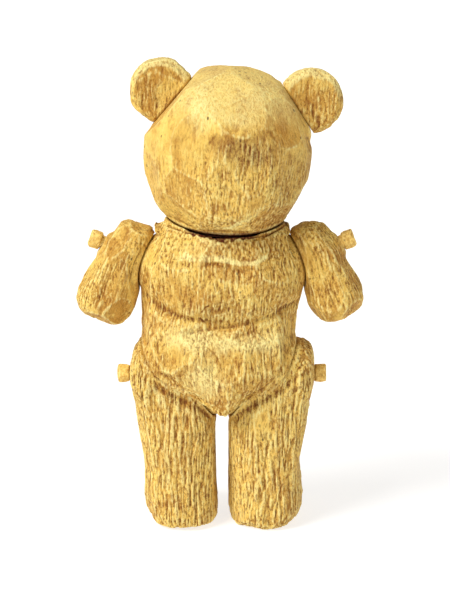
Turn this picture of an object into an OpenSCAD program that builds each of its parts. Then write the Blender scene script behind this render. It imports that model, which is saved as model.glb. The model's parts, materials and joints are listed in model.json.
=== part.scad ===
/* [Head] */
// Width of the head across the cheeks
head_w = 52.6; // [51.6:0.2:53]
// Height of the head, from its flat underside to the crown
head_h = 51.4; // [50:0.2:52]
// Depth of the head from the nape to the brow
head_d = 48; // [46:0.5:49]
// How far the muzzle stands out in front of the brow
muzzle_out = 9; // [6:0.5:10]
// Sideways lean of the head and its neck peg, in degrees
head_lean = 4; // [0:0.5:5]
// Radius of the ear discs
ear_r = 10.1; // [9:0.1:10.4]
// Thickness of the ears
ear_t = 8.6; // [7:0.2:9]
// Both ears sit this far towards the bear's right of the head's middle
ear_shift = 1.4; // [0:0.2:1.4]

/* [Torso] */
// Half the width of the chest between the arms
chest_half_w = 25.8; // [25.2:0.1:26]
// Height of the neck joint above the floor
neck_z = 96.2; // [95.8:0.1:96.6]
// Radius of the round knobs that carry the arms
knob_r = 13.6; // [13.4:0.1:13.8]

/* [Shoulders] */
// Distance of each knob's centre from the middle of the body
knob_x = 13.5; // [13.3:0.1:13.7]
// Height of the knobs' centres above the floor
knob_z = 84.4; // [84.2:0.1:84.6]
// Upward tilt of the shoulder pegs, in degrees
peg_tilt = 20; // [18:0.5:22]

/* [Hips] */
// Height of the hip pegs above the floor
hip_z = 50.2; // [50:0.1:50.5]
// Radius of the round top of each leg about its hip peg
thigh_r = 12; // [11.6:0.1:12]
// How far a leg can swing back, in degrees
leg_back_swing = 10; // [4:1:10]

/* [Pegs] */
// Radius of the limb pegs
peg_r = 2.3; // [2:0.05:2.4]
// Radius of the neck peg
neck_peg_r = 3; // [2.6:0.1:3.2]
// Radial clearance of a limb or the neck on its peg
peg_fit = 0.06; // [0.04:0.01:0.1]
// Gap between carved faces that move past each other
joint_gap = 0.3; // [0.25:0.05:0.35]

/* [Hidden] */

wood = [0.86, 0.68, 0.37];
peg_wood = [0.80, 0.60, 0.30];
washer_red = [0.30, 0.10, 0.06];
dark_wood = [0.13, 0.08, 0.06];

sides = 40;                 // points round each carved section
spine_y = 5;                // the body's middle plane, behind the middle of the bounding box
limb_x = 29.5;              // outer face of the legs at the hip pegs
head_flat_r = 12.5;         // radius of the flat that the head turns on
washer_t = 1.2;             // thickness of the neck washer
washer_gap = 0.1;           // play between the washer and the head
ear_plane = 24.3;           // distance of the ears' glued faces from the head's centre
ear_reach = 29;             // distance of the ears' centres from the head's centre
ear_dir = 53;               // angle of the ears from the head's upright axis
ear_pin_r = 1.5;
eye_r = 1.9;
eye_x = 9.4;
eye_z = 31.5;               // height of the eyes above the head's flat
snout_z = 19;               // height of the snout's middle above the head's flat
nose_z = 23.4;              // height of the nose above the head's flat
ear_y = -1;                 // the ears stand a little in front of the head's middle
ear_pin_in = 6;             // how deep an ear pin goes into the head
ear_pin_out = 5;            // and into the ear
neck_peg_deep = 16;         // depth of the neck peg's hole below the joint
neck_peg_up = 20;           // how far the neck peg runs up into the head
hip_peg_in = 7;             // distance of the hip pegs' inner ends from the middle
arm_mid = 18.3;             // distance of the arm's middle from the knob's centre, along its peg
arm_outer = 26;             // outer face of the arm along its peg
lower_arm = 6;              // the arm's lower half begins this far below the peg
shoulder_face = 10.2;       // flat cut on the shoulder round the knob, along the peg
shoulder_lip = 14.4;        // the lip over the arm's round top ends here
shoulder_hub_r = 11;        // radius of the room for the arm's round top under the lip
lip_height = 9;             // the lip begins this far above the peg
waist_z = 62;
waist_shift = 1;            // the waist is cut a little towards the bear's left
waist_spread = 14;          // which fades out this far above and below it
right_arm_slim = 0.9;       // the right arm's lower half is carved slimmer and shorter than the left's
right_arm_short = 0.96;
foot_in = 1.2;              // the left foot stands this much nearer the middle than the right one
pelvis_r = 13.2;            // radius of the turned pelvis between the legs
pelvis_half_w = 22.3;
peg_head_r = 3.1;
peg_proud = 4;              // how far a peg's head stands out of the limb
peg_head_gap = 0.15;        // play between a peg's head and the limb
far = 45;                   // reaches past everything that a cut has to clear
fine = 96;                  // sides of turned joint faces
bore_fine = 64;             // sides of pegs and their holes

// ---- shapes that repeat ----

// a section between given edges, rounder for a small n and squarer for a large one
function edge_pow(v, n) = sign(v) * pow(abs(v), 2 / n);
function section(x0, x1, y0, y1, n) = [
    for (i = [0 : sides - 1])
        let (t = 360 * i / sides)
        [
            (x0 + x1) / 2 + (x1 - x0) / 2 * edge_pow(cos(t), n),
            (y0 + y1) / 2 + (y1 - y0) / 2 * edge_pow(sin(t), n)
        ]
];
function at_height(pts, z) = [for (p = pts) [p[0], p[1], z]];

// a closed solid through a stack of sections, lowest first
module loft(rings) {
    n = len(rings[0]);
    last = (len(rings) - 1) * n;
    walls = [
        for (k = [0 : len(rings) - 2])
            for (i = [0 : n - 1])
                let (a = k * n + i, b = k * n + (i + 1) % n)
                each [[a, a + n, b + n], [a, b + n, b]]
    ];
    foot = [for (i = [0 : n - 1]) i];
    top = [for (i = [n - 1 : -1 : 0]) last + i];
    polyhedron(points = [for (r = rings) each r], faces = concat(walls, [foot], [top]), convexity = 6);
}

// a turned shape round the X axis: profile points are [distance along X, radius]
module turned_x(profile) {
    rotate([0, 90, 0])
        rotate_extrude($fn = fine)
            polygon([for (p = profile) [p[1], p[0]]]);
}

// what follows is the bear's left side; the right side is its mirror image
module on_side(right) {
    translate([0, spine_y, 0])
        mirror([right ? 1 : 0, 0, 0])
            children();
}
module at_shoulder() {
    translate([knob_x, 0, knob_z])
        rotate([0, -peg_tilt, 0])
            children();
}
module at_hip() {
    translate([0, 0, hip_z])
        children();
}
module at_neck() {
    translate([0, spine_y, neck_z])
        rotate([0, -head_lean, 0])
            children();
}
module at_ear(right) {
    at_neck()
        translate([-ear_shift, 0, head_h / 2])
            mirror([right ? 1 : 0, 0, 0])
                rotate([0, ear_dir, 0])
                    children();
}

// ---- torso ----

// rows of height, half width as a share of the chest's, front, back and squareness
torso_rows = [
    [38.8, 0.21, -6.0, 14.2, 2.0],
    [40.4, 0.27, -8.5, 15.4, 2.1],
    [44.2, 0.47, -11.0, 16.8, 2.2],
    [48.4, 0.76, -12.0, 17.8, 2.3],
    [52.8, 0.94, -12.6, 18.4, 2.4],
    [57.0, 0.965, -12.8, 18.6, 2.4],
    [62.4, 0.96, -13.0, 18.3, 2.4],
    [64.6, 0.965, -15.2, 17.5, 2.4],
    [67.4, 0.97, -17.2, 16.2, 2.4],
    [69.8, 0.975, -18.2, 15.1, 2.5],
    [73.2, 0.985, -18.8, 15.8, 2.5],
    [79.0, 1.0, -18.2, 16.8, 2.5],
    [85.0, 0.995, -17.0, 17.0, 2.5],
    [89.8, 0.96, -15.8, 16.6, 2.5],
    [93.4, 0.95, -14.6, 14.9, 2.4],
    [96.4, 0.93, -13.2, 13.6, 2.3],
    [98.6, 0.87, -11.4, 12.2, 2.2],
    [100.4, 0.79, -9.2, 10.2, 2.1],
    [102, 0.64, -6.4, 7.4, 2.0]
];
pelvis_profile = [[0, pelvis_r], [3, pelvis_r], [pelvis_half_w, 4.4]];

module torso_blank() {
    loft([
        for (r = torso_rows)
            let (
                a = chest_half_w * r[1],
                shift = waist_shift * max(0, 1 - pow((r[0] - waist_z) / waist_spread, 2))
            )
            at_height(section(shift - a, shift + a, r[2], r[3], r[4]), r[0])
    ]);
}

// what the arm's inner face turns in; a lip of the shoulder stays over the arm's round top
module arm_room() {
    at_shoulder() {
        translate([shoulder_face, 0, 0])
            rotate([0, 90, 0])
                cylinder(h = far, r = shoulder_hub_r, $fn = fine);
        translate([shoulder_face, -far / 2, lip_height - far])
            cube(far);
        translate([shoulder_lip, -far / 2, -far / 2])
            cube(far);
    }
}

// everything that a leg passes through on its way from back swing to sitting
module leg_room() {
    clear_r = thigh_r + joint_gap;
    flat_r = clear_r + 0.05;    // the flat cuts stand just clear of the round one
    at_hip() {
        rotate([0, 90, 0])
            cylinder(h = far, r = clear_r, $fn = fine);
        translate([0, -far, -far])
            cube([far, far, far + flat_r]);
        rotate([leg_back_swing, 0, 0])
            translate([0, -far / 2, -far])
                cube([far, far / 2 + flat_r, far]);
    }
}

module pelvis() {
    at_hip()
        for (m = [0, 1])
            mirror([m, 0, 0])
                turned_x([[0, 0], each pelvis_profile, [pelvis_half_w, 0]]);
}

// the dished seat that the round underside of the head turns in
module head_room() {
    top = 15;
    rotate_extrude($fn = fine)
        polygon([
            [0, 0],
            [head_flat_r + joint_gap, 0],
            [head_w / 2 * head_share(0) + joint_gap, head_base],
            for (h = [1.5 : 1.5 : top])
                [head_w / 2 * head_share(h) + joint_gap, head_base + h - 0.2],
            [0, top]
        ]);
}

module torso() {
    color(wood)
        difference() {
            union() {
                translate([0, spine_y, 0])
                    difference() {
                        torso_blank();
                        for (m = [0, 1])
                            mirror([m, 0, 0]) {
                                leg_room();
                                arm_room();
                            }
                    }
                translate([0, spine_y, 0])
                    pelvis();
                for (right = [false, true])
                    on_side(right)
                        at_shoulder()
                            sphere(r = knob_r, $fn = fine);
            }
            at_neck()
                head_room();
            at_neck()
                translate([0, 0, -neck_peg_deep])
                    cylinder(h = far, r = neck_peg_r + peg_fit, $fn = bore_fine);
            for (right = [false, true])
                on_side(right) {
                    at_shoulder()
                        rotate([0, 90, 0])
                            cylinder(h = far, r = peg_r, $fn = bore_fine);
                    at_hip()
                        translate([hip_peg_in, 0, 0])
                            rotate([0, 90, 0])
                                cylinder(h = far, r = peg_r, $fn = bore_fine);
                }
        }
}

// ---- head ----

head_base = washer_t + washer_gap;

// half width or depth of the head at height h above its flat, as a share of the largest
function head_share(h) =
    let (c = head_h / 2, low = h < c, n = low ? 2.5 : 2.05, reach = c * (low ? 1.07 : 1.004))
    pow(1 - pow(abs(h - c) / reach, n), 1 / n);

// the sections are round where the head turns in its seat, and oval above
function head_ring(h) =
    let (
        s = head_share(h),
        oval = min(1, max(0, (h - seat_top) / seat_top)),
        a = head_w / 2 * s,
        b = (head_w + (head_d - head_w) * oval) / 2 * s
    )
    at_height(section(-a, a, -b, b, 2 + 0.15 * oval), h);

head_levels_h = 51.4;
seat_top = 6.5;             // height above the flat that the head sits in its seat
head_levels = [
    0, 1.4, 3.2, 5.4, 8, 10.6, 13.2, 15.8, 18.4, 21, 23.6,
    26.2, 29, 32, 35, 38, 41, 44, 46.6, 48.8, 50.2, 51
];

// rows of share of the snout's reach, half width and half height
snout_rows = [
    [0.36, 13.4, 11.4],
    [0.60, 12.6, 10.6],
    [0.72, 11.6, 9.7],
    [0.82, 10.4, 8.6],
    [0.90, 8.9, 7.3],
    [0.955, 7.0, 5.7],
    [0.988, 4.6, 3.8],
    [1.0, 2.2, 1.8]
];
snout_reach = head_d / 2 + muzzle_out;

module snout() {
    translate([0, 0, snout_z])
        rotate([90, 0, 0])
            loft([
                for (r = snout_rows)
                    at_height(section(-r[1], r[1], -r[2], r[2], 2.2), r[0] * snout_reach)
            ]);
}

module head() {
    color(wood)
        difference() {
            at_neck()
                translate([0, 0, head_base]) {
                    loft([for (h = head_levels) head_ring(h * head_h / head_levels_h)]);
                    snout();
                }
            for (right = [false, true])
                at_ear(right) {
                    translate([-far / 2, -far / 2, ear_plane])
                        cube(far);
                    translate([0, ear_y, ear_plane - ear_pin_in])
                        cylinder(h = far, r = ear_pin_r, $fn = bore_fine);
                }
            at_neck()
                cylinder(h = neck_peg_up, r = neck_peg_r, $fn = bore_fine);
            for (right = [false, true])
                at_eye(right)
                    eye_bead();
            at_nose()
                nose_plug();
        }
}

// a disc with chamfered rims, cut flat where it is glued to the head
module ear(right) {
    rim = 1.8;
    hollow_r = 7;
    color(wood)
        at_ear(right)
            translate([0, ear_y, 0])
                difference() {
                    translate([0, 0, ear_reach])
                        rotate([90, 0, 0])
                            rotate_extrude($fn = 72)
                                polygon([
                                    [0, -ear_t / 2], [ear_r - rim, -ear_t / 2], [ear_r, -ear_t / 2 + rim],
                                    [ear_r, ear_t / 2 - rim], [ear_r - rim, ear_t / 2], [0, ear_t / 2]
                                ]);
                    translate([-far / 2, -far / 2, ear_plane - far])
                        cube(far);
                    cylinder(h = ear_plane + ear_pin_out, r = ear_pin_r, $fn = bore_fine);
                    translate([0, 2.4 - ear_t / 2 - hollow_r, ear_reach + 1])
                        sphere(r = hollow_r, $fn = bore_fine);
                }
}

module ear_pin(right) {
    color(peg_wood)
        at_ear(right)
            translate([0, ear_y, ear_plane - ear_pin_in])
                cylinder(h = ear_pin_in + ear_pin_out, r = ear_pin_r, $fn = bore_fine);
}

module at_eye(right) {
    share = head_share(eye_z);
    brow_y = head_d / 2 * share * pow(1 - pow(2 * eye_x / (head_w * share), 2.15), 1 / 2.15);
    at_neck()
        mirror([right ? 1 : 0, 0, 0])
            translate([eye_x, 0.3 - brow_y, head_base + eye_z])
                children();
}
module eye_bead() {
    sphere(r = eye_r, $fn = 48);
}
module eye(right) {
    color(dark_wood)
        at_eye(right)
            eye_bead();
}

module at_nose() {
    at_neck()
        translate([0, 1.6 - snout_reach, head_base + nose_z])
            children();
}
module nose_plug() {
    scale([1.3, 0.75, 0.85])
        sphere(r = 3.4, $fn = 48);
}
module nose() {
    color(dark_wood)
        at_nose()
            nose_plug();
}

// ---- neck ----

module neck_washer() {
    color(washer_red)
        at_neck()
            difference() {
                cylinder(h = washer_t, r = head_flat_r, $fn = fine);
                translate([0, 0, -far / 2])
                    cylinder(h = far, r = neck_peg_r + joint_gap, $fn = bore_fine);
            }
}

module neck_peg() {
    color(peg_wood)
        at_neck()
            translate([0, 0, joint_gap - neck_peg_deep])
                cylinder(h = neck_peg_deep + neck_peg_up - joint_gap, r = neck_peg_r, $fn = bore_fine);
}

// ---- arms ----

// rows of drop below the peg, inner and outer faces along the peg, front, back and squareness
upper_arm_rows = [
    [23.8, 13.0, 23.6, -5.6, 5.4, 2.0],
    [22.4, 10.8, 26.1, -8.0, 7.6, 2.1],
    [19.6, 9.4, 28.0, -9.8, 8.9, 2.2],
    [15.8, 9.0, 28.5, -10.4, 9.6, 2.2],
    [12.0, 9.3, 28.0, -9.8, 9.4, 2.2],
    [8.0, 9.9, 26.9, -9.2, 9.2, 2.3],
    [3.0, 10.5, 26.2, -9.0, 9.2, 2.4],
    [-2.0, 10.6, 25.3, -8.8, 8.9, 2.4],
    [-5.6, 10.8, 23.8, -7.8, 7.9, 2.3],
    [-8.2, 11.0, 22.4, -6.4, 6.6, 2.2],
    [-9.7, 12.2, 20.4, -4.0, 4.2, 2.0]
];
// rows of reach in front of the peg, half thickness, top and bottom below the peg, and squareness
forearm_rows = [
    [-3.0, 7.6, 8.6, 20.8, 2.1],
    [3.0, 8.4, 7.0, 22.4, 2.1],
    [9.0, 8.2, 6.6, 22.2, 2.1],
    [15.0, 7.7, 6.2, 20.8, 2.1],
    [20.0, 7.2, 6.0, 19.4, 2.1],
    [24.0, 6.2, 6.6, 18.0, 2.1],
    [26.6, 4.2, 8.4, 16.0, 2.0],
    [27.8, 1.8, 10.6, 13.8, 2.0]
];

module upper_arm(right) {
    loft([
        for (r = upper_arm_rows)
            let (
                slimmer = right && r[0] > lower_arm,
                outer = slimmer ? arm_mid + (r[2] - arm_mid) * right_arm_slim : r[2],
                drop = slimmer ? r[0] * right_arm_short : r[0]
            )
            at_height(section(r[1], outer, r[3], r[4], r[5]), -drop)
    ]);
}

module arm(right) {
    color(wood)
        on_side(right)
            at_shoulder()
                difference() {
                    union() {
                        upper_arm(right);
                        rotate([90, 0, 0])
                            loft([
                                for (r = forearm_rows)
                                    at_height(
                                        section(arm_mid - r[1], arm_mid + r[1], -r[3], -r[2], r[4]),
                                        r[0]
                                    )
                            ]);
                    }
                    sphere(r = knob_r + joint_gap, $fn = fine);
                    rotate([0, 90, 0])
                        cylinder(h = far, r = peg_r + peg_fit, $fn = bore_fine);
                }
}

// a peg along X with a flared, chamfered head; x0 is its inner end and x1 its head's foot
module limb_peg(x0, x1) {
    turned_x([
        [x0, 0], [x0, peg_r - 0.4], [x0 + 0.6, peg_r], [x1, peg_r], [x1, peg_head_r - 0.1],
        [x1 + peg_proud - 0.6, peg_head_r], [x1 + peg_proud, peg_head_r - 0.5], [x1 + peg_proud, 0]
    ]);
}

module shoulder_peg(right) {
    color(peg_wood)
        on_side(right)
            at_shoulder()
                limb_peg(joint_gap, arm_outer + peg_head_gap);
}

// ---- legs ----

// rows of share of the hip's height, inner face, outer face, front, back and squareness
leg_rows = [
    [0, 3.4, 22.8, -20.6, 8.8, 2.5],
    [0.03, 2.2, 25.0, -23.2, 10.7, 2.6],
    [0.1, 1.9, 26.6, -24.6, 11.3, 2.6],
    [0.19, 1.9, 27.2, -24.2, 11.4, 2.6],
    [0.27, 1.9, 26.9, -21.8, 11.4, 2.5],
    [0.33, 1.9, 26.4, -17.6, 11.4, 2.5],
    [0.39, 1.9, 26.0, -13.4, 11.4, 2.5],
    [0.47, 1.9, 26.1, -11.4, 11.5, 2.5],
    [0.6, 1.9, 27.1, -11.2, 11.7, 2.5],
    [0.74, 1.9, 28.4, -11.5, 11.9, 2.5],
    [0.86, 1.9, 29.2, -11.8, 12.0, 2.6],
    [1, 1.9, 29.5, -12.0, 12.0, 2.7]
];

module leg(right) {
    hollow = [for (p = pelvis_profile) [p[0] + (p[0] > 3 ? joint_gap : 0), p[1] + joint_gap]];
    color(wood)
        on_side(right)
            difference() {
                union() {
                    loft([
                        for (r = leg_rows)
                            let (shift = right ? 0 : -foot_in * pow(1 - r[0], 1.5))
                            at_height(section(r[1] + shift, r[2] + shift, r[3], r[4], r[5]), r[0] * hip_z)
                    ]);
                    at_hip()
                        turned_x([
                            [1.9, 0], [1.9, thigh_r - 1.6], [3.6, thigh_r], [26.2, thigh_r],
                            [28.6, thigh_r - 2.2], [limb_x, thigh_r - 5], [limb_x, 0]
                        ]);
                }
                at_hip()
                    turned_x([[-1, 0], [-1, hollow[0][1]], each hollow, [hollow[2][0], 0]]);
                at_hip()
                    rotate([0, 90, 0])
                        cylinder(h = far, r = peg_r + peg_fit, $fn = bore_fine);
            }
}

module hip_peg(right) {
    color(peg_wood)
        on_side(right)
            at_hip()
                limb_peg(hip_peg_in, limb_x + peg_head_gap);
}

// ---- the bear ----

torso();
neck_washer();
neck_peg();
head();
ear(false);  // ear_left
ear(true);  // ear_right
ear_pin(false);  // ear_pin_left
ear_pin(true);  // ear_pin_right
eye(false);  // eye_left
eye(true);  // eye_right
nose();
arm(false);  // arm_left
arm(true);  // arm_right
shoulder_peg(false);  // shoulder_peg_left
shoulder_peg(true);  // shoulder_peg_right
leg(false);  // leg_left
leg(true);  // leg_right
hip_peg(false);  // hip_peg_left
hip_peg(true);  // hip_peg_right
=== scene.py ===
"""Carved, jointed wooden bear: the looks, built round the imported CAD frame."""
import json
import math

import bmesh
import bpy
import numpy as np
from mathutils import Matrix, Vector
from mathutils.bvhtree import BVHTree


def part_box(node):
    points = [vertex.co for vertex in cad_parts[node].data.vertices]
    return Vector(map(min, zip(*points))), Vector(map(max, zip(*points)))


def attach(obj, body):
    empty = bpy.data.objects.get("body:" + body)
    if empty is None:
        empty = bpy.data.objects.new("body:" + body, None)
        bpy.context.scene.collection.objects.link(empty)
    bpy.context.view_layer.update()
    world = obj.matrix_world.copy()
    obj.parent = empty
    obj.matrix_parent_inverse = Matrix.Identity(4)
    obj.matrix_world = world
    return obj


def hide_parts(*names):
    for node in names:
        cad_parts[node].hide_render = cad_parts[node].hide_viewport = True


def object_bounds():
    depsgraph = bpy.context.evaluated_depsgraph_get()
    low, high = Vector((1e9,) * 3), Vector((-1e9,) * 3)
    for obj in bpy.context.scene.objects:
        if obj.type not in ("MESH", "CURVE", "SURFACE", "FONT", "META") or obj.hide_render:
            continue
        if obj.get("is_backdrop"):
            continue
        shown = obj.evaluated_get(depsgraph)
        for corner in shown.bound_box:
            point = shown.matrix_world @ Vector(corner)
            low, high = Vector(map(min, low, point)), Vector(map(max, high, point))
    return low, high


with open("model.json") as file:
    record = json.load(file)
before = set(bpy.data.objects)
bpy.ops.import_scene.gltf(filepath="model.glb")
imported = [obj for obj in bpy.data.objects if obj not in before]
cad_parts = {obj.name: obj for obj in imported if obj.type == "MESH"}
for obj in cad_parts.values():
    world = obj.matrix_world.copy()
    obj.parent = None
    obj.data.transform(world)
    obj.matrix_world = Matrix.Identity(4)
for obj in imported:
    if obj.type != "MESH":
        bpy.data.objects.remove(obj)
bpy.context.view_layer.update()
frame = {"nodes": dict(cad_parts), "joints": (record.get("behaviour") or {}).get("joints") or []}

MM = 1000.0                      # millimetres in a metre: carving is worked out in millimetres
WELD = 1e-3                      # corners of the CAD mesh closer than this are one
TINY = 1e-9                      # keeps divisions safe
SIDES = (("left", 1), ("right", -1))
joints = {joint["name"]: joint for joint in frame["joints"]}


# ---- places, from the frame ----

def box_mm(node):
    low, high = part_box(node)
    return np.array(low) * MM, np.array(high) * MM


def joint_frame(name, outward=1):
    """Origin and axes of a block of wood: x outward along its peg, y backwards, z up."""
    joint = joints[name]
    origin = np.array(joint["pos_m"]) * MM
    axis = np.array(joint["axis"])
    if name == "neck_turn":
        up = axis
        side = np.array([up[2], 0.0, -up[0]])
    else:
        side = axis * (1 if axis[0] * outward > 0 else -1)
        up = np.array([-side[2], 0.0, side[0]]) * outward
    back = np.array([0.0, 1.0, 0.0])
    return origin, np.stack([side, back, up])


def to_local(points, place):
    origin, axes = place
    return (points - origin) @ axes.T


# ---- noise ----

def lattice(ix, iy, iz, seed):
    """A value from -1 to 1 for each corner of a grid, always the same for the same corner and seed."""
    h = ix * np.uint32(374761393) + iy * np.uint32(668265263) + iz * np.uint32(2246822519)
    h = h + np.uint32(seed * 3266489917 & 0xFFFFFFFF)
    h = (h ^ (h >> np.uint32(15))) * np.uint32(2654435761)
    h = (h ^ (h >> np.uint32(13))) * np.uint32(1274126177)
    return (h ^ (h >> np.uint32(16))).astype(np.float32) * np.float32(2.0 / 4294967295.0) - 1


def noise(points, size, seed):
    """Smooth value noise from -1 to 1; size is the length of a cell along each axis."""
    q = points / np.asarray(size, dtype=float)
    cell = np.floor(q)
    f = (q - cell).astype(np.float32)
    f = f * f * (3 - 2 * f)
    i = cell.astype(np.int64).astype(np.uint32)
    one = np.uint32(1)
    total = np.zeros(len(points), np.float32)
    for dx in (0, 1):
        wx = f[:, 0] if dx else 1 - f[:, 0]
        for dy in (0, 1):
            wy = f[:, 1] if dy else 1 - f[:, 1]
            for dz in (0, 1):
                wz = f[:, 2] if dz else 1 - f[:, 2]
                corner = lattice(i[:, 0] + one * dx, i[:, 1] + one * dy, i[:, 2] + one * dz, seed)
                total += wx * wy * wz * corner
    return total


def layered(points, size, seed, octaves=3):
    size = np.asarray(size, dtype=float)
    total = 0
    for k in range(octaves):
        total = total + noise(points, size / 2 ** k, seed + 17 * k) / 2 ** k
    return total / (2 - 0.5 ** (octaves - 1))


# ---- soft shapes ----

def step(x, low, high):
    """0 below low, 1 above high, smooth between."""
    t = np.clip((x - low) / (high - low), 0, 1)
    return t * t * (3 - 2 * t)


def fall(x, start, end):
    """1 below start, 0 above end, smooth between."""
    return step(-x, -end, -start)


def bell(distance, width):
    return np.exp(-(distance / width) ** 2)


def blot(x, z, middle, size):
    return np.exp(-((x - middle[0]) / size[0]) ** 2 - ((z - middle[1]) / size[1]) ** 2)


# ---- meshes as arrays ----

class Block:
    """A piece of wood as arrays: points in millimetres, quads, edges."""

    def __init__(self, node, voxel, soften):
        dense = self.remeshed(frame["nodes"][node].data.copy(), voxel)
        self.mesh = dense
        self.points = np.zeros(len(dense.vertices) * 3, np.float32)
        dense.vertices.foreach_get("co", self.points)
        self.points = self.points.reshape(-1, 3).astype(float)
        self.edges = np.zeros(len(dense.edges) * 2, np.int32)
        dense.edges.foreach_get("vertices", self.edges)
        self.edges = self.edges.reshape(-1, 2)
        self.quads = np.zeros(len(dense.loops), np.int32)
        dense.loops.foreach_get("vertex_index", self.quads)
        self.quads = self.quads.reshape(-1, 4)
        self.degree = np.bincount(self.edges.ravel(), minlength=len(self.points)).astype(float)
        for _ in range(soften):
            self.points = self.points + 0.5 * (self.around(self.points) - self.points)

    @staticmethod
    def remeshed(mesh, voxel):
        """An even mesh of quads, in millimetres, round a copy of a CAD mesh."""
        bm = bmesh.new()
        bm.from_mesh(mesh)
        bm.transform(Matrix.Scale(MM, 4))
        bmesh.ops.remove_doubles(bm, verts=bm.verts, dist=WELD)
        bm.to_mesh(mesh)
        bm.free()
        obj = bpy.data.objects.new("work", mesh)
        bpy.context.scene.collection.objects.link(obj)
        remesh = obj.modifiers.new("remesh", "REMESH")
        remesh.mode = "VOXEL"
        remesh.voxel_size = voxel
        depsgraph = bpy.context.evaluated_depsgraph_get()
        dense = bpy.data.meshes.new_from_object(obj.evaluated_get(depsgraph))
        bpy.data.objects.remove(obj)
        bpy.data.meshes.remove(mesh)
        return dense

    def around(self, values):
        """The mean of each point's neighbours."""
        a, b = self.edges.T
        n = len(self.points)
        if values.ndim == 1:
            total = np.bincount(a, values[b], n) + np.bincount(b, values[a], n)
            return total / self.degree
        return np.stack([self.around(values[:, k]) for k in range(values.shape[1])], 1)

    def blurred(self, values, times):
        for _ in range(times):
            values = 0.5 * values + 0.5 * self.around(values)
        return values

    def normals(self):
        p = self.points[self.quads]
        face = np.cross(p[:, 2] - p[:, 0], p[:, 3] - p[:, 1])
        total = np.zeros_like(self.points)
        for k in range(3):
            total[:, k] = np.bincount(self.quads.ravel(), np.repeat(face[:, k], 4), len(self.points))
        return total / np.maximum(np.linalg.norm(total, axis=1, keepdims=True), TINY)

    def piece(self, name, node, body, slot, material, **looks):
        """The finished piece, which stands for its CAD node; looks are values a point for the material."""
        self.mesh.vertices.foreach_set("co", (self.points / MM).astype(np.float32).ravel())
        for key, values in looks.items():
            attribute = self.mesh.attributes.new(key, "FLOAT", "POINT")
            attribute.data.foreach_set("value", np.asarray(values, np.float32))
        self.mesh.name = name
        self.mesh.polygons.foreach_set("use_smooth", np.ones(len(self.mesh.polygons), bool))
        self.mesh.update()
        obj = bpy.data.objects.new(name, self.mesh)
        bpy.context.scene.collection.objects.link(obj)
        self.mesh.materials.clear()
        self.mesh.materials.append(material)
        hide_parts(node)
        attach(obj, body)


# ---- knife work: lengths in millimetres, shares of the spacing between cuts ----

MOST_TRIES = 6000                # points tried as places for cuts
CROWDING = 0.2                   # cuts crowd each other only where their normals agree this much
CUT_REACH = 1.25                 # share: how far a cut goes from its middle
CUT_MIDDLE = 0.3                 # share: the part whose mean normal the knife follows
CUT_RING = (0.45, 0.7)           # share: the ring whose drop sets how deep the cut is
UNEVEN = (0.5, 1.5)              # how much one bite of the knife differs from the next
GLANCING = 0.5                   # least cosine that a depth is divided by
FACET_FACING = (0.15, 0.45)      # a cut fades out where the surface turns away from it
MEETING = 0.05                   # difference in depth within which two cuts meet in an edge
GRAZE = 0.03                     # a cut this shallow has no edge
EDGE_CELL = (2.5, 2.5, 3.5)      # length of the breaks in an edge
EDGE_SEED = 5
SMOOTHING = 25                   # rounds of blurring for the normals that the knife follows
FIBRE_CELL = (0.7, 0.7, 4.2)     # width, depth and length of a fibre groove
LIMB_REACH = 4.0                 # how far from a neighbour its distance is still measured
LIMB_GUARD = (0.4, 3.2)          # cuts fade out between these distances from a limb or ear
NECK_GUARD = (0.2, 1.4)          # and between these from the neck joint
FAR = 9.0                        # distance given to pieces that nothing touches
SEAM_SHADE = 0.5                  # painted shade in the seams, where pieces meet
COARSE = 0.12                    # depth of the lumpiness left between cuts


def scatter(points, normals, spacing, stretch, rng):
    """Places for knife cuts, at least a spacing apart; stretch is how much longer a cut is than wide."""
    order = rng.permutation(len(points))[:MOST_TRIES]
    q = points * np.array([1, 1, 1 / stretch])
    chosen = []
    for i in order:
        if not chosen:
            chosen.append(i)
            continue
        near = q[chosen] - q[i]
        facing = normals[chosen] @ normals[i] > CROWDING
        if not (facing & ((near ** 2).sum(1) < spacing ** 2)).any():
            chosen.append(i)
    return np.array(chosen)


def plane_cut(local, at, facing, limit):
    """How deep one flat cut goes at each point, measured along the smooth normals."""
    n = np.array(facing, float)
    n = n / np.linalg.norm(n)
    offset = local["points"] - np.array(at, float)
    height = offset @ n
    along = local["smooth_normals"] @ n
    near = fall(np.linalg.norm(offset, axis=1), 0.8 * limit, limit)
    return np.maximum(height, 0) / np.maximum(along, GLANCING) * step(along, 0.1, 0.4) * near


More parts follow.
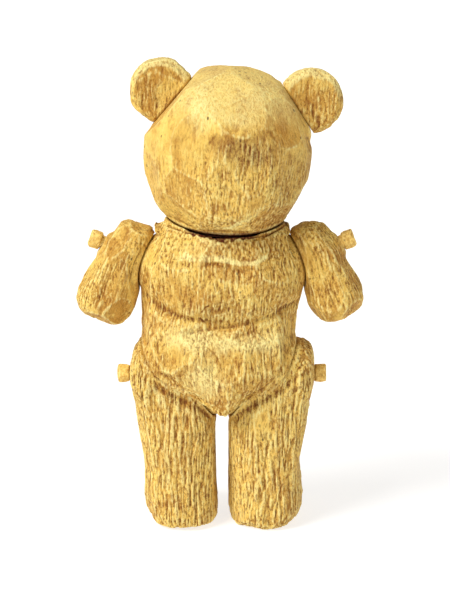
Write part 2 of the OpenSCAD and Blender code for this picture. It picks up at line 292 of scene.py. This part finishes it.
def knife_facets(local, spacing, rng, bite, tilt, stretch, cap):
    """How deep flat knife cuts go at each point, each cut's tone, and how near an edge between cuts is."""
    points, smooth = local["points"], local["smooth_normals"]
    seeds = scatter(points, smooth, spacing, stretch, rng)
    best = np.zeros(len(points))
    second = np.zeros(len(points))
    whole = np.zeros(len(points))
    owner = np.full(len(points), -1)
    order = np.argsort(points[:, 2])
    heights = points[order, 2]
    squeeze = np.array([1, 1, 1 / stretch])
    reach = spacing * CUT_REACH
    for k, i in enumerate(seeds):
        z = points[i, 2]
        a, b = np.searchsorted(heights, [z - reach * stretch, z + reach * stretch])
        near = order[a:b]
        offset = points[near] - points[i]
        span = np.linalg.norm(offset * squeeze, axis=1)
        close = (span < reach) & (smooth[near] @ smooth[i] > 0.1)
        near, offset, span = near[close], offset[close], span[close]
        n = smooth[near[span < CUT_MIDDLE * spacing]].mean(0) + rng.normal(0, tilt, 3)
        n = n / np.linalg.norm(n)
        height = offset @ n
        ring = (span > CUT_RING[0] * spacing) & (span < CUT_RING[1] * spacing)
        drop = -np.median(height[ring]) if ring.any() else 0.0
        depth = np.clip(drop, 0, cap) + bite * rng.uniform(*UNEVEN)
        along = smooth[near] @ n
        fade = step(along, *FACET_FACING) * fall(span, reach * 0.5, reach)
        cut = np.clip((depth + height) / np.maximum(along, GLANCING), 0, cap) * fade
        wins = cut > best[near]
        second[near] = np.where(wins, best[near], np.maximum(second[near], cut))
        best[near] = np.where(wins, cut, best[near])
        whole[near] = np.where(wins, fade, whole[near])
        owner[near] = np.where(wins, k, owner[near])
    tone = rng.uniform(0, 1, len(seeds) + 1)[owner]
    edge = bell(best - second, MEETING) * (best > GRAZE) * step(whole, 0.5, 0.9)
    return best, tone, edge * step(noise(points, EDGE_CELL, EDGE_SEED), -0.35, 0.4)


def line_distance(q, line):
    """Distance of each point from a line of (x, z) points, seen along y."""
    p = q[:, [0, 2]]
    best = np.full(len(p), np.inf)
    for a, b in zip(line[:-1], line[1:]):
        a, b = np.array(a, float), np.array(b, float)
        d = b - a
        t = np.clip((p - a) @ d / (d @ d), 0, 1)
        best = np.minimum(best, np.linalg.norm(p - a - t[:, None] * d, axis=1))
    return best


def lowered(line, drop):
    return [(x, z - drop) for x, z in line]


def ragged(q, amount, cell, seed):
    """The points shifted up and down at random, which makes a line measured from them ragged."""
    shifted = q.copy()
    shifted[:, 2] += amount * noise(q, cell, seed)
    return shifted


def tone_and_shading(q, spots):
    """Soft lighter and darker blots, of the wood's own tone and of painted light and shade: (x, z), (half
    width, half height), strength.
    """
    wander, cell = 1.2, (4, 4, 4)
    x = q[:, 0] + wander * noise(q, cell, 401)
    z = q[:, 2] + wander * noise(q, cell, 402)
    return sum(strength * blot(x, z, middle, size) for middle, size, strength in spots)


def scratch(q, line, width, depth):
    """A V groove along a line, seen along y."""
    wobble = 0.25 * noise(q, (2, 2, 2), 77)
    return depth * np.clip(1 - (line_distance(q, line) + wobble * width) / width, 0, 1)


def grain_grooves(q, seed):
    """Fine grooves along the fibre, from 0 to 1."""
    bend = np.stack([noise(q, (5, 5, 9), seed + 1), noise(q, (5, 5, 9), seed + 2), 0 * q[:, 0]], 1)
    cell = np.array(FIBRE_CELL)
    wide = noise(q + 0.6 * bend, cell * (1.3, 1.3, 1.5), seed + 3)
    thin = noise(q + 0.4 * bend, cell * (0.62, 0.62, 0.7), seed + 4)
    return step(0.55 * wide + 0.6 * thin, -0.35, 0.55)


def distance_to(points, nodes, reach):
    """Distance of each point from the nearest of these CAD nodes, up to reach."""
    found = np.full(len(points), reach)
    for node in nodes:
        low, high = box_mm(node)
        near = np.nonzero(((points > low - reach) & (points < high + reach)).all(1))[0]
        mesh = frame["nodes"][node].data
        corners = [v.co * MM for v in mesh.vertices]
        tree = BVHTree.FromPolygons(corners, [p.vertices[:] for p in mesh.polygons])
        for i in near:
            hit = tree.find_nearest(points[i], reach)[3]
            if hit is not None and hit < found[i]:
                found[i] = hit
    return found


def carve(node, body, place, seed, spacing, stretch=1.25, tilt=0.07, bite=0.15, groove_depth=0.3,
          amount=None, marks=None, voxel=0.33, soften=5, slot="carved_wood", material=None,
          beside=(), touching=(), cap=1.3):
    """A CAD node made into a carved piece: flat knife cuts, fibre grooves and its own marks.

    spacing, bite, cap and groove_depth are in millimetres; amount(q, patches) says how fibrous the
    surface is, and marks(local, cut) adds to the cuts and gives the light and dark paint.
    """
    rng = np.random.default_rng(seed)
    block = Block(node, voxel, soften)
    q = to_local(block.points, place)
    smooth = block.blurred(block.normals(), SMOOTHING) @ place[1].T
    n = smooth / np.linalg.norm(smooth, axis=1, keepdims=True)
    nothing = np.zeros(len(q))
    local = {"points": q, "smooth_normals": n, "close": np.full(len(q), FAR), "stain": nothing}

    cut, tone, edge = knife_facets(local, spacing, rng, bite, tilt, stretch, cap)
    apart = distance_to(block.points, beside, LIMB_REACH)
    free = step(apart, *LIMB_GUARD)
    if touching:
        local["close"] = distance_to(block.points, touching, LIMB_REACH)
        free = free * step(local["close"], *NECK_GUARD)
        apart = np.minimum(apart, local["close"])
    cut = block.blurred(cut, 1) * (0.05 + 0.95 * free)
    edge = edge * free

    patches = layered(q, (7, 7, 13), seed + 5)
    rough = step(patches, -0.6, 0.4) if amount is None else amount(q, patches)
    fibre = groove_depth * grain_grooves(q, seed + 9) * (0.12 + 0.88 * rough)
    coarse = COARSE * (layered(q, (3.2, 3.2, 6), seed + 21, 2) + 0.5)
    paint = nothing
    if marks is not None:
        cut, paint = marks(local, cut)
    # Painted shade: darker along the seams where a piece meets its neighbours.
    seam = fall(apart, 0.3, 0.9) * (0.6 + 0.4 * noise(q, (1.5, 1.5, 3), seed + 31))
    paint = paint - SEAM_SHADE * seam
    cut = cut + (fibre + coarse) * (0.2 + 0.8 * free)
    block.points = block.points - (n @ place[1]) * cut[:, None]
    block.piece(
        "carved_" + node, node, body, slot, material or wood,
        tone=tone, edge=edge, rough=rough, paint=paint, stain=np.clip(local["stain"], 0, 1),
        cavity=cut - block.blurred(cut, 12), wide_cavity=cut - block.blurred(cut, 80)
    )


# ---- materials ----

class Nodes:
    """A short way to write a node tree."""

    def __init__(self, name):
        self.material = bpy.data.materials.new(name)
        self.material.use_nodes = True
        self.tree = self.material.node_tree
        self.tree.nodes.clear()
        self.shader = self.add("ShaderNodeBsdfPrincipled")
        output = self.add("ShaderNodeOutputMaterial")
        self.tree.links.new(self.shader.outputs[0], output.inputs[0])

    def add(self, kind, **settings):
        node = self.tree.nodes.new(kind)
        for key, value in settings.items():
            setattr(node, key, value)
        return node

    def put(self, socket, value):
        if isinstance(value, bpy.types.NodeSocket):
            self.tree.links.new(value, socket)
        else:
            socket.default_value = value

    def math(self, operation, a, b, clamp=False):
        node = self.add("ShaderNodeMath", operation=operation, use_clamp=clamp)
        self.put(node.inputs[0], a)
        self.put(node.inputs[1], b)
        return node.outputs[0]

    def plus(self, a, b):
        return self.math("ADD", a, b)

    def times(self, a, b, clamp=False):
        return self.math("MULTIPLY", a, b, clamp)

    def attribute(self, name):
        return self.add("ShaderNodeAttribute", attribute_name=name).outputs["Fac"]

    def place(self, cells):
        """Coordinates in the object's own frame, with this many cells a metre along each axis."""
        coords = self.add("ShaderNodeTexCoord")
        mapping = self.add("ShaderNodeMapping")
        mapping.inputs["Scale"].default_value = cells
        self.tree.links.new(coords.outputs["Object"], mapping.inputs["Vector"])
        return mapping.outputs[0]

    def noise(self, cells, detail, rough):
        node = self.add("ShaderNodeTexNoise")
        self.put(node.inputs["Vector"], self.place(cells))
        node.inputs["Scale"].default_value = 1.0
        node.inputs["Detail"].default_value = detail
        node.inputs["Roughness"].default_value = rough
        return node.outputs["Fac"]

    def spread(self, value, low, high, out_low=0.0, out_high=1.0):
        """value from low to high becomes out_low to out_high, smoothly."""
        node = self.add("ShaderNodeMapRange", interpolation_type="SMOOTHSTEP")
        for socket, v in zip(node.inputs, (value, low, high, out_low, out_high)):
            self.put(socket, v)
        return node.outputs[0]

    def mix(self, factor, a, b):
        node = self.add("ShaderNodeMix", data_type="RGBA")
        self.put(node.inputs["Factor"], factor)
        self.put(node.inputs[6], a)
        self.put(node.inputs[7], b)
        return node.outputs[2]

    def finish(self, colour, roughness, height, distance, strength):
        self.put(self.shader.inputs["Base Color"], colour)
        self.put(self.shader.inputs["Roughness"], roughness)
        bump = self.add("ShaderNodeBump")
        self.put(bump.inputs["Height"], height)
        bump.inputs["Distance"].default_value = distance
        bump.inputs["Strength"].default_value = strength
        self.tree.links.new(bump.outputs[0], self.shader.inputs["Normal"])
        return self.material


def srgb(r, g, b):
    return tuple(((c / 255 + 0.055) / 1.055) ** 2.4 for c in (r, g, b)) + (1.0,)


HONEY = srgb(212, 158, 64)       # the wood itself, from darker to lighter
STRAW = srgb(250, 208, 102)
CARAMEL = srgb(188, 130, 46)     # blotches
BUTTER = srgb(254, 222, 122)
TAN = srgb(184, 128, 42)
PIT = srgb(150, 92, 24)          # fibres: sunk, gritty and raised
GRIT = srgb(132, 80, 20)
FIBRE = srgb(255, 232, 142)
HOLLOW_STAIN_AND_SHADE = srgb(124, 70, 16)       # stain left in the cuts, and painted shade in seams, creases and under overhangs
RUBBED_AND_LIT = srgb(255, 238, 158)     # edges and raised fibres rubbed pale, and painted light on slopes that face up to the key
MAROON_STAIN_AND_SHADE = srgb(96, 26, 10)        # reddish brown: painted shade at the neck gap and on the head's shaded side, and the head's brown stain
PORE = srgb(84, 48, 16)
END_PALE = srgb(248, 212, 116)   # peg ends
END_DARK = srgb(208, 158, 66)
END_HOLLOW = srgb(96, 58, 28)
END_RUBBED = srgb(252, 226, 150)
NOSE_DARK = srgb(38, 22, 16)
NOSE_PALE = srgb(74, 46, 32)
HIDE_DARK = srgb(52, 12, 6)
HIDE_PALE = srgb(112, 48, 24)

CLOUD_CELLS = (110, 110, 70)     # cells a metre across, across and along the grain
BLOTCH_CELLS = (240, 240, 150)
PORE_CELLS = (300, 300, 190)
MOTTLE_CELLS = (420, 420, 260)
SPECK_CELLS = (1500, 1500, 900)
STREAK_CELLS = (1500, 1500, 300)
FINE_CELLS = (3200, 3200, 1500)
END_CELLS = (1200, 1200, 1200)
DARK_CELLS = (1400, 1400, 500)
HIDE_CELLS = (1100, 1100, 1100)
FLOOR_CELLS = (6, 6, 6)


def carved_wood(name):
    """Stained and rubbed wood, with painted light and shade; the attributes that carve() leaves say where.
    """
    n = Nodes(name)
    cloud = n.noise(CLOUD_CELLS, 4, 0.6)
    blotch = n.noise(BLOTCH_CELLS, 4, 0.65)
    mottle = n.noise(MOTTLE_CELLS, 4, 0.7)
    speck = n.noise(SPECK_CELLS, 3, 0.7)
    streak = n.noise(STREAK_CELLS, 4, 0.7)
    fine = n.noise(FINE_CELLS, 2, 0.6)
    relief = n.plus(n.times(streak, 0.52), n.times(speck, 0.48))
    force = n.spread(n.attribute("rough"), 0, 1, 0.22, 1.0)
    cavity = n.attribute("cavity")
    paint = n.attribute("paint")

    warm = n.plus(n.times(n.attribute("tone"), 0.35), cloud)
    base = n.mix(n.spread(warm, 0.42, 0.9), HONEY, STRAW)
    base = n.mix(n.spread(blotch, 0.52, 0.64, 0, 0.62), base, CARAMEL)
    base = n.mix(n.spread(blotch, 0.47, 0.35, 0, 0.65), base, BUTTER)
    base = n.mix(n.spread(mottle, 0.52, 0.72, 0, 0.35), base, TAN)

    sunk = n.times(n.spread(relief, 0.495, 0.405), force)
    base = n.mix(n.times(sunk, 0.9), base, PIT)
    grit = n.times(n.spread(fine, 0.48, 0.36), force)
    base = n.mix(n.times(grit, 0.25), base, GRIT)
    raised = n.times(n.spread(relief, 0.53, 0.62), force)
    base = n.mix(n.times(raised, 0.85), base, FIBRE)

    wide = n.spread(n.attribute("wide_cavity"), 0.1, 0.7, 0, 0.12)
    hollow_and_shade = n.plus(n.spread(cavity, 0.0, 0.13, 0, 0.8), wide)
    # The dark side of paint goes here too: real dark marks, and painted shade in seams, creases and under
    # overhangs.
    hollow_and_shade = n.plus(hollow_and_shade, n.spread(paint, 0, -1, 0, 1))
    hollow_and_shade = n.times(hollow_and_shade, n.spread(speck, 0.3, 0.6, 1.2, 0.6), clamp=True)
    base = n.mix(hollow_and_shade, base, HOLLOW_STAIN_AND_SHADE)
    pale = n.plus(n.spread(cavity, -0.01, -0.09, 0, 0.7), n.times(n.attribute("edge"), 0.4))
    # The light side of paint goes here too: pale ridges, and painted light on slopes that face up.
    pale = n.plus(pale, n.spread(paint, 0, 1, 0, 1))
    pale = n.times(pale, n.spread(relief, 0.4, 0.56, 0.25, 1.0), clamp=True)
    base = n.mix(pale, base, RUBBED_AND_LIT)
    # Reddish brown where the attribute says: mostly painted shade, some real stain.
    stain_and_shade_mix = n.times(n.attribute("stain"), n.spread(speck, 0.3, 0.62, 1.15, 0.7), clamp=True)
    base = n.mix(stain_and_shade_mix, base, MAROON_STAIN_AND_SHADE)

    spots = n.add("ShaderNodeTexVoronoi", feature="F1")
    n.put(spots.inputs["Vector"], n.place(PORE_CELLS))
    spots.inputs["Scale"].default_value = 1.0
    pores = n.times(n.spread(spots.outputs["Distance"], 0.13, 0.07), n.spread(cloud, 0.42, 0.6))
    base = n.mix(n.times(pores, 0.8), base, PORE)
    n.shader.inputs["Specular IOR Level"].default_value = 0.3
    height = n.plus(relief, n.times(fine, 0.3))
    return n.finish(base, n.spread(fine, 0.3, 0.7, 0.5, 0.75), height, 0.0011, 0.9)


def end_wood(name):
    n = Nodes(name)
    cavity = n.attribute("cavity")
    streak = n.noise(END_CELLS, 3, 0.6)
    base = n.mix(n.spread(streak, 0.35, 0.7), END_PALE, END_DARK)
    base = n.mix(n.spread(cavity, 0.01, 0.1, 0, 0.9), base, END_HOLLOW)
    base = n.mix(n.spread(cavity, -0.01, -0.08, 0, 0.6), base, END_RUBBED)
    return n.finish(base, n.spread(streak, 0.3, 0.7, 0.55, 0.75), streak, 0.0003, 0.5)


def dark_wood(name):
    n = Nodes(name)
    streak = n.noise(DARK_CELLS, 3, 0.6)
    base = n.mix(streak, NOSE_DARK, NOSE_PALE)
    return n.finish(base, n.spread(streak, 0.3, 0.7, 0.3, 0.5), streak, 0.0002, 0.4)


def red_leather(name):
    n = Nodes(name)
    grain = n.noise(HIDE_CELLS, 4, 0.65)
    base = n.mix(n.spread(grain, 0.35, 0.7), HIDE_DARK, HIDE_PALE)
    return n.finish(base, n.spread(grain, 0.3, 0.7, 0.65, 0.9), grain, 0.0005, 0.8)


def pale_floor(name):
    """A matt floor that glows a little, so that shadows on it stay faint."""
    n = Nodes(name)
    cloud = n.noise(FLOOR_CELLS, 2, 0.5)
    n.put(n.shader.inputs["Base Color"], n.mix(cloud, (0.44, 0.44, 0.44, 1), (0.47, 0.47, 0.47, 1)))
    n.shader.inputs["Roughness"].default_value = 0.6
    n.shader.inputs["Specular IOR Level"].default_value = 0.2
    n.shader.inputs["Emission Color"].default_value = (1, 1, 1, 1)
    n.shader.inputs["Emission Strength"].default_value = 0.72
    return n.material


wood = carved_wood("carved_wood")
peg_end = end_wood("peg_wood")
dark = dark_wood("dark_wood")
leather = red_leather("red_leather")


# ---- where the marks are: (x, z) in millimetres from a piece's joint, seen along y ----

CREST = [
    (14, 40.6), (11.5, 41.2), (8.3, 40.5), (4.6, 41.1), (0.6, 40.9), (-3.1, 39.4), (-5.5, 38.8),
    (-10.4, 39.6), (-13.2, 40.3)
]
WAIST = [
    (26, 28), (20.8, 24), (16.1, 22.1), (11.1, 21.2), (6.8, 20.7), (2.2, 19.8), (-2.5, 19.2),
    (-7.1, 19.7), (-11.8, 20.5), (-15.5, 21.5), (-18.6, 22.8), (-26, 25)
]
RUMP_EDGE = [
    (26, 4), (19.7, 0), (13.3, -3.4), (7.3, -7), (2.6, -10.6), (-2.6, -10.6), (-8.9, -7.4),
    (-15.2, -2.9), (-21, 2.3), (-26, 7)
]
CRACKS = [
    [(-1.2, 26.9), (2.5, 26.3), (5.2, 25.3), (6.5, 23.3), (6.8, 21.3), (3.7, 18.6), (-0.9, 15.1),
     (-5.6, 11.8)],
    [(4.3, 13), (2.8, 11.5), (1.5, 9.6), (0.6, 6.8), (0.9, 4.1), (2.8, 0.8), (4.7, -1.8)],
    [(-9.6, 10), (-8.4, 5.3), (-7.8, 1.2), (-7.5, -3)]
]
# Among these blots, painted light and shade: the dark belt above the waist crease, where the back faces
# down, and the pale blots on the rump below it, which faces up.
TORSO_TONE_AND_SHADING = [
    ((12, 15.5), (9, 4), 0.75), ((-4, 14), (8, 3.2), 0.7), ((-16, 14.5), (5, 4), 0.6),
    ((6, 2), (6, 6.5), 0.75), ((-13, 4), (5, 6), -0.2), ((20, 5), (4, 5), -0.3),
    ((2, 23.8), (16, 2.6), -0.5), ((-19, 32), (4, 9), -0.3), ((8, 44), (9, 1.8), 0.35),
    ((-12, 44), (6, 2), -0.1), ((20, 37), (4, 5), 0.1), ((-3, 36), (8, 2.5), -0.2)
]
SHOULDER_CORNERS = [((21.3, 2, 48.3), (0.63, 0, 0.776)), ((-20.9, 2, 48.2), (-0.63, 0, 0.776))]

TORN = [
    (-15, 33), (-12.4, 36.1), (-9.7, 36), (-7.3, 35.3), (-5.1, 33.2), (-1.8, 33.3), (0.6, 34.3),
    (2.4, 33.9), (3.9, 34.9), (5, 33.7), (7, 31), (9, 26)
]
NAPE = [(8.2, 4), (2, 4.6), (-2.7, 4.2)]
NAPE_RIDGE = [(-0.3, 3.9), (-5, 6.5), (-10.2, 9.4), (-11.3, 11.4)]
CHEEK_RIDGES = [
    [(-13, 6.8), (-15.3, 10.9), (-17.4, 15.5)],
    [(-16.7, 26.7), (-16.8, 22.1), (-17.6, 16.8), (-15.7, 10.2)]
]
HEAD_CUTS = [
    ((3, 17.4, 4.4), (0.05, 0.62, -0.78), 11),
    ((-13.5, 15.5, 8.5), (-0.5, 0.66, -0.56), 12),
    ((14.5, 13.5, 8.5), (0.55, 0.55, -0.62), 13)
]
# Among these blots, painted shade: the dark patch on the downward facet low at the back (4.5, 3.4) and the
# darker right side (-20, 20), turned from the key light.
HEAD_TONE_AND_SHADING = [
    ((9, 38), (3.5, 8), 0.45), ((13, 30), (5, 8), -0.12), ((1, 30), (5.5, 4), -0.5),
    ((-11, 29), (5.5, 6.5), -0.45), ((-4, 26), (7, 4), -0.35), ((-20, 20), (4, 9), -0.2),
    ((-1, 37.5), (6, 3), 0.35), ((-9, 45), (6, 3), 0.15), ((4.5, 3.4), (5.5, 1.5), -0.6),
    ((22, 22), (2, 11), 0.3), ((14, 12), (5, 6), 0.15), ((-3, 12), (7, 6), -0.1)
]
MOUTH = [
    [(0, 20.6), (0, 15.6)],
    [(7.4, 15.4), (4.2, 13.8), (0, 15.6), (-4.2, 13.8), (-7.4, 15.4)]
]

THIGH_EDGE = [(-1, 4), (-2.8, 0), (-9.2, -3.4), (-15.2, -7), (-20.3, -11.2)]
THIGH_RIDGES = {
    1: [(1, 4), (-0.5, 3.6), (-2.4, -5.5), (-3.8, -18.8), (-5.2, -35.6)],
    -1: [(3.5, -6), (4.2, -14), (3, -30)]
}
THIGH_CUT = ((3.9, 10.3, -16), (0.62, 0.78, 0), 26)

BREAK_CELL = (1.6, 1.6, 1.6)     # length of the breaks in a line
NECK_SHADE_HALF = (9.5, 12.5)    # half width of the painted shade band at the neck gap, where it starts to fade


# ---- the marks of each piece ----

def torso_rough(q, patches):
    return step(patches + 0.5 * fall(q[:, 0], -10, 4) + 0.35, -0.5, 0.5)


def torso_marks(local, cut):
    q, n = local["points"], local["smooth_normals"]
    back = step(n[:, 1], 0.1, 0.5)
    broken = step(noise(q, BREAK_CELL, 301), -0.5, 0.4)
    for at, facing in SHOULDER_CORNERS:
        cut = np.maximum(cut, plane_cut(local, at, facing, 7))

    waist = line_distance(q, WAIST)
    crack = sum(scratch(q, line, 0.4, 0.22) for line in CRACKS) * back * broken
    torn = ragged(q, 0.8, (1.6, 1.6, 3), 302)
    crest = line_distance(torn, CREST)
    under = line_distance(torn, lowered(CREST, 1.9))
    cut = cut + back * 0.8 * bell(waist, 1.5) + crack
    cut = cut + back * 0.4 * bell(under, 1.2) * step(noise(q, (3, 3, 3), 303), -0.6, 0.3)
    paint = back * (bell(crest, 1.1) * (0.45 + 0.9 * broken) - 0.3 * bell(under, 0.9))
    # Painted shade: a dark line in the waist crease, under the bulge of the back.
    paint = paint - back * 0.45 * bell(waist, 0.7) * broken - 1.3 * crack

    # The rump's lower edge: a pale strip on its bevel, and painted shade in a band 2 mm from it, under the
    # overhang.
    rim = line_distance(q, RUMP_EDGE)
    paint = paint + back * (0.4 * bell(rim - 0.8, 0.6) - 0.35 * bell(rim - 2.0, 0.5) * broken)

    # Painted shade: a dark reddish band on the back of the torso round the gap under the head.
    from_neck = local["close"] + 0.5 * noise(q, (1.1, 1.1, 1.6), 304) + 0.5 * noise(q, (3.5, 3.5, 3.5), 305)
    aside = np.abs(q[:, 0] + 0.4 * noise(q, (2, 2, 2), 306))
    middle = fall(aside, *NECK_SHADE_HALF) * (q[:, 1] > 0)
    band = fall(from_neck, 1.0, 1.5) * middle
    local["stain"] = band
    cut = cut + 0.5 * band
    paint = paint + 0.6 * middle * bell(from_neck - 1.9, 0.45) * broken
    return cut, paint + back * tone_and_shading(q, TORSO_TONE_AND_SHADING)


def head_rough(q, patches):
    """Fibrous low down and in one streak at the back, smoother on the left cheek and the crown."""
    x, z = q[:, 0], q[:, 2]
    low = fall(z, 20, 34) * (1 - 0.55 * step(x, 4, 13) * (q[:, 1] > 0))
    streaked = blot(x, z, (-9, 28), (6, 9))
    return np.clip(0.1 + 0.8 * low * step(patches + 0.5, -0.5, 0.5) + 0.6 * streaked, 0, 1)


def head_marks(local, cut):
    q, n = local["points"], local["smooth_normals"]
    x, z = q[:, 0], q[:, 2]
    back = step(n[:, 1], 0.2, 0.6)
    face = fall(n[:, 1], -0.4, 0.1)
    broken = step(noise(q, BREAK_CELL, 321), -0.5, 0.4)
    cut = cut * (1 - 0.55 * face) * (1 - 0.35 * step(z, 30, 42))
    for at, facing, limit in HEAD_CUTS:
        cut = np.maximum(cut, plane_cut(local, at, facing, limit))

    under = np.interp(x, *zip(*TORN)) - z
    inside = step(x, -15, -13) * fall(x, 5, 8) * back
    fibres = 0.6 + 0.4 * noise(q, (0.9, 0.9, 3), 311)
    cut = cut + 0.25 * inside * step(under, -0.2, 1.4) * fall(under, 2, 9)
    paint = 0.5 * step(z, 30, 44) - 0.45 * inside * step(under, 0, 1.2) * fall(under, 0.5, 6) * fibres

    torn = ragged(q, 0.7, (1.4, 1.4, 1.4), 312)
    paint = paint + back * bell(line_distance(torn, NAPE_RIDGE), 1.0) * (0.3 + 0.7 * broken)
    paint = paint + back * 0.5 * bell(line_distance(torn, NAPE), 0.5)
    for ridge in CHEEK_RIDGES:
        paint = paint + back * 0.4 * bell(line_distance(torn, ridge), 0.6) * broken

    # Painted shade: the side turned from the key light, low on the head, goes reddish brown.
    shaded = fall(n[:, 0], -0.75, -0.3) * fall(z, 26, 34)
    triangle = blot(x, z, (-9, 30), (6, 5)) * back
    # Painted shade: dark reddish where the head meets the torso at the back.
    at_neck = fall(local["close"], 0.4, 0.9) * fall(np.abs(x), *NECK_SHADE_HALF) * (n[:, 1] > 0)
    local["stain"] = 0.24 * shaded + 0.24 * triangle + 0.9 * at_neck
    paint = paint + 0.1 * shaded
    for line in MOUTH:
        near = line_distance(q, line)
        cut = cut + 0.7 * face * bell(near, 0.55)
        paint = paint - 0.9 * face * bell(near, 0.5)
    return cut, paint + back * tone_and_shading(q, HEAD_TONE_AND_SHADING)


def leg_rough(q, patches):
    return step(patches, -0.9, 0.0)


def leg_marks(sign):
    def marks(local, cut):
        q, n = local["points"], local["smooth_normals"]
        back = step(n[:, 1], 0.2, 0.6)
        broken = step(noise(q, (1.6, 1.6, 2.5), 331), -0.5, 0.4)
        hollow_and_shade = line_distance(q, lowered(THIGH_EDGE, 2.2))
        lip = line_distance(q, lowered(THIGH_EDGE, 5.2))
        ridge = line_distance(q, THIGH_RIDGES[sign])
        cut = np.maximum(cut + back * 0.6 * bell(hollow_and_shade, 1.6), plane_cut(local, *THIGH_CUT))
        # Painted shade on the leg top, in the hollow under the rump's overhang.
        paint = back * (0.35 * broken * bell(lip, 1.0) - 0.35 * bell(hollow_and_shade, 1.7))
        return cut, paint + back * 0.5 * broken * bell(ridge, 0.7)
    return marks


def ear_marks(node, place):
    """A pale rim round a slightly darker flat, both lighter towards the top."""
    low, high = box_mm(node)
    middle = to_local(((low + high) / 2)[None], place)[0]
    radius = (high[2] - low[2]) / 2

    def marks(local, cut):
        q, n = local["points"], local["smooth_normals"]
        away = np.linalg.norm((q - middle)[:, [0, 2]], axis=1)
        top = step(q[:, 2] - middle[2], -4, 6)
        flat = step(np.abs(n[:, 1]), 0.5, 0.9)
        rim = step(away, radius - 3.2, radius - 1.8)
        return cut, 0.7 * rim * top - 0.14 * flat * (1 - rim) - 0.1 * flat * (1 - top)
    return marks


# ---- the pieces ----

def dress(node, material):
    """A better material on a CAD node that stays."""
    materials = frame["nodes"][node].data.materials
    materials.clear()
    materials.append(material)


neck = joint_frame("neck_turn")
# the torso's own frame: on the middle plane, at the height of the hips
upright = (np.array(joints["hip_left"]["pos_m"]) * MM * np.array([0, 1, 1]), np.eye(3))
limbs = [part + side for part in ("arm_", "leg_") for side, _ in SIDES]
peg_cut = dict(
    bite=0.05, cap=0.25, voxel=0.2, soften=3, groove_depth=0.12, slot="peg_wood", material=peg_end
)

carve("torso", "torso", upright, 11, 10.5, stretch=1.5, amount=torso_rough, marks=torso_marks,
      beside=limbs, touching=["head", "neck_washer"])
carve("head", "head", neck, 23, 11.0, stretch=1.3, amount=head_rough, marks=head_marks,
      beside=["ear_left", "ear_right"], touching=["torso", "neck_washer"])
for side, sign in SIDES:
    arm, leg, ear = "arm_" + side, "leg_" + side, "ear_" + side
    shoulder_peg, hip_peg = "shoulder_peg_" + side, "hip_peg_" + side
    shoulder = joint_frame("shoulder_" + side, sign)
    hip = joint_frame("hip_" + side, sign)
    carve(arm, arm, shoulder, 31 + sign, 7.5, cap=0.9, beside=["torso", shoulder_peg])
    carve(leg, leg, hip, 41 + sign, 8.5, stretch=2.6, cap=0.7, groove_depth=0.45, amount=leg_rough,
          marks=leg_marks(sign), beside=["torso", hip_peg])
    carve(ear, "head", neck, 51 + sign, 7.0, tilt=0.03, bite=0.05, cap=0.4, voxel=0.3,
          marks=ear_marks(ear, neck), beside=["head"])
    carve(shoulder_peg, "torso", shoulder, 61 + sign, 2.2, **peg_cut)
    carve(hip_peg, "torso", hip, 71 + sign, 2.2, **peg_cut)
    dress("eye_" + side, dark)
    dress("ear_pin_" + side, peg_end)
carve("nose", "head", neck, 81, 2.4, bite=0.08, voxel=0.2, soften=3, groove_depth=0.06,
      slot="dark_wood", material=dark)
carve("neck_washer", "torso", neck, 91, 3, bite=0.1, voxel=0.25, soften=2, groove_depth=0.3,
      slot="leather", material=leather)
dress("neck_peg", peg_end)


# ---- stage, light, camera ----

FLOOR_HEIGHTS = 40               # half the floor's side, in heights of the bear
BACKDROP = 1.0                   # strength of the white that the camera sees
AMBIENT = 0.42                   # strength of the light from all round
KEY_FROM = (0.7, 0.5, 0.85)
KEY_STRENGTH = 2.95
KEY_SPREAD = math.radians(30)
VIEW_ELEVATION = math.radians(13)
VIEW_DISTANCE = 0.5
AIM_ASIDE = -0.00095
AIM_HEIGHT = 0.0743
LENS = 94.3
SENSOR = 36

low, high = (np.array(corner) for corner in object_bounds())
reach = FLOOR_HEIGHTS * (high[2] - low[2])
floor_mesh = bpy.data.meshes.new("floor")
corners = [(-reach, -reach, 0), (reach, -reach, 0), (reach, reach, 0), (-reach, reach, 0)]
floor_mesh.from_pydata(corners, [], [(0, 1, 2, 3)])
floor = bpy.data.objects.new("floor", floor_mesh)
floor.data.materials.append(pale_floor("floor"))
bpy.context.scene.collection.objects.link(floor)
floor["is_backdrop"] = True

world = bpy.data.worlds.new("studio")
bpy.context.scene.world = world
world.use_nodes = True
tree = world.node_tree
backdrop = tree.nodes["Background"]
backdrop.inputs[0].default_value = (1, 1, 1, 1)
backdrop.inputs[1].default_value = BACKDROP
ambient = tree.nodes.new("ShaderNodeBackground")
ambient.inputs[0].default_value = (1, 0.95, 0.88, 1)
ambient.inputs[1].default_value = AMBIENT
path = tree.nodes.new("ShaderNodeLightPath")
switch = tree.nodes.new("ShaderNodeMixShader")
tree.links.new(path.outputs["Is Camera Ray"], switch.inputs[0])
tree.links.new(ambient.outputs[0], switch.inputs[1])
tree.links.new(backdrop.outputs[0], switch.inputs[2])
tree.links.new(switch.outputs[0], tree.nodes["World Output"].inputs[0])

key_data = bpy.data.lights.new("key", "SUN")
key_data.energy = KEY_STRENGTH
key_data.angle = KEY_SPREAD
key = bpy.data.objects.new("key", key_data)
key.rotation_euler = Vector(KEY_FROM).to_track_quat("Z", "Y").to_euler()
bpy.context.scene.collection.objects.link(key)

aim = Vector((AIM_ASIDE, joints["hip_left"]["pos_m"][1], AIM_HEIGHT))
camera_data = bpy.data.cameras.new("camera")
camera_data.lens = LENS
camera_data.sensor_width = SENSOR
camera = bpy.data.objects.new("camera", camera_data)
away = Vector((0, math.cos(VIEW_ELEVATION), math.sin(VIEW_ELEVATION)))
camera.location = aim + VIEW_DISTANCE * away
camera.rotation_euler = (aim - camera.location).to_track_quat("-Z", "Y").to_euler()
bpy.context.scene.collection.objects.link(camera)
bpy.context.scene.camera = camera
bpy.context.scene.view_settings.view_transform = "Standard"
